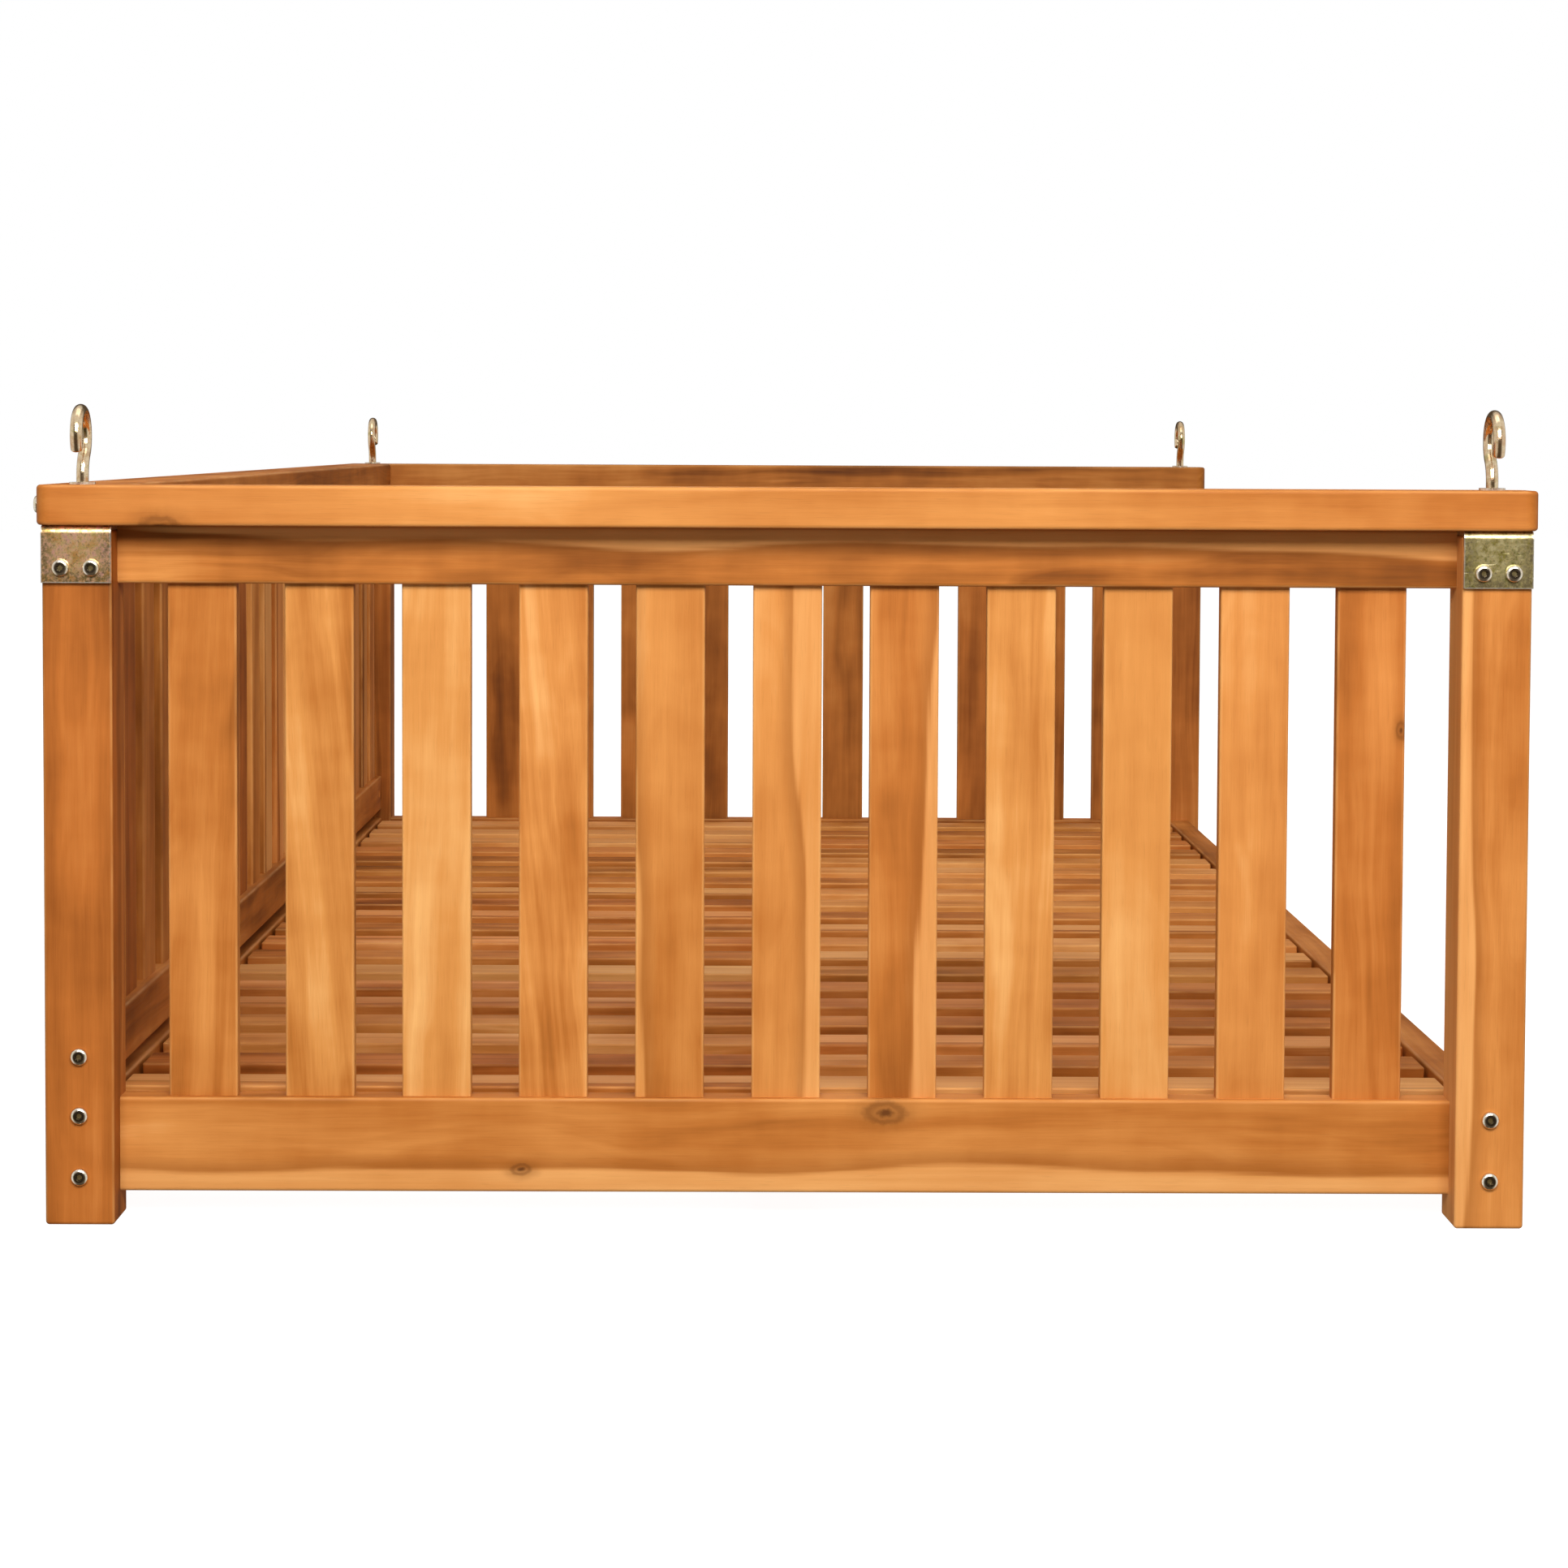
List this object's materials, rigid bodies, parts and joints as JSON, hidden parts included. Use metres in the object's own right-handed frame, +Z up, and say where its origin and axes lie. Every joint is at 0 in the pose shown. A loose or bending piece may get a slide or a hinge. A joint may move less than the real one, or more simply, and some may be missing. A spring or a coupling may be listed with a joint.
{
  "type": "porch swing bed",
  "caption": "Slatted wooden porch swing bed with a back panel, arm panels, an open front and a steel hanging hook over each corner post.",
  "frame": {"origin": "on the floor under the middle of the bed, level with the undersides of the corner posts", "axes": "+X along the bed towards its right end as seen from the open front, +Y from the open front towards the back panel, +Z up"},
  "size_m": [1.8126, 0.9725, 0.532],
  "materials": {
    "acacia": "satin oiled",
    "zinc_plate": "yellow zinc plated, satin",
    "zinc_hardware": "yellow zinc plated, glossy"
  },
  "bodies": {
    "frame": {"post_front_left": "acacia", "post_front_right": "acacia", "post_back_left": "acacia", "post_back_right": "acacia", "arm_cap_left": "acacia", "arm_top_rail_left": "acacia", "arm_bottom_rail_left": "acacia", "arm_slat_left_01": "acacia", "arm_slat_left_02": "acacia", "arm_slat_left_03": "acacia", "arm_slat_left_04": "acacia", "arm_slat_left_05": "acacia", "arm_slat_left_06": "acacia", "arm_slat_left_07": "acacia", "arm_slat_left_08": "acacia", "arm_slat_left_09": "acacia", "arm_slat_left_10": "acacia", "arm_slat_left_11": "acacia", "arm_cap_right": "acacia", "arm_top_rail_right": "acacia", "arm_bottom_rail_right": "acacia", "arm_slat_right_01": "acacia", "arm_slat_right_02": "acacia", "arm_slat_right_03": "acacia", "arm_slat_right_04": "acacia", "arm_slat_right_05": "acacia", "arm_slat_right_06": "acacia", "arm_slat_right_07": "acacia", "arm_slat_right_08": "acacia", "arm_slat_right_09": "acacia", "arm_slat_right_10": "acacia", "arm_slat_right_11": "acacia", "back_cap": "acacia", "back_top_rail": "acacia", "back_bottom_rail": "acacia", "back_slats": "acacia", "seat_rail_front": "acacia", "seat_rail_back": "acacia", "seat_ledger_front": "acacia", "seat_ledger_back": "acacia", "seat_slats_front": "acacia", "seat_slats_back": "acacia", "seat_centre_beam": "acacia", "bracket_front_left": "zinc_plate", "bracket_front_right": "zinc_plate", "bracket_back_left": "zinc_plate", "bracket_back_right": "zinc_plate", "bracket_screws": "zinc_hardware", "post_bolts": "zinc_hardware", "barrel_nuts": "zinc_hardware", "hook_washers": "zinc_hardware", "cap_end_screws": "zinc_hardware"},
    "hook_front_left_bolt": {"hook_front_left": "zinc_hardware", "hook_nut_front_left": "zinc_hardware"},
    "hook_front_right_bolt": {"hook_front_right": "zinc_hardware", "hook_nut_front_right": "zinc_hardware"},
    "hook_back_left_bolt": {"hook_back_left": "zinc_hardware", "hook_nut_back_left": "zinc_hardware"},
    "hook_back_right_bolt": {"hook_back_right": "zinc_hardware", "hook_nut_back_right": "zinc_hardware"}
  },
  "joints": [
    {"name": "hook_front_left_turn", "type": "hinge", "parent": "frame", "child": "hook_front_left_bolt", "pos_m": [-0.8775, -0.4575, 0.48], "axis": [0, 0, 1], "continuous": true},
    {"name": "hook_front_right_turn", "type": "hinge", "parent": "frame", "child": "hook_front_right_bolt", "pos_m": [0.8775, -0.4575, 0.48], "axis": [0, 0, 1], "continuous": true},
    {"name": "hook_back_left_turn", "type": "hinge", "parent": "frame", "child": "hook_back_left_bolt", "pos_m": [-0.8775, 0.4575, 0.48], "axis": [0, 0, 1], "continuous": true},
    {"name": "hook_back_right_turn", "type": "hinge", "parent": "frame", "child": "hook_back_right_bolt", "pos_m": [0.8775, 0.4575, 0.48], "axis": [0, 0, 1], "continuous": true}
  ]
}
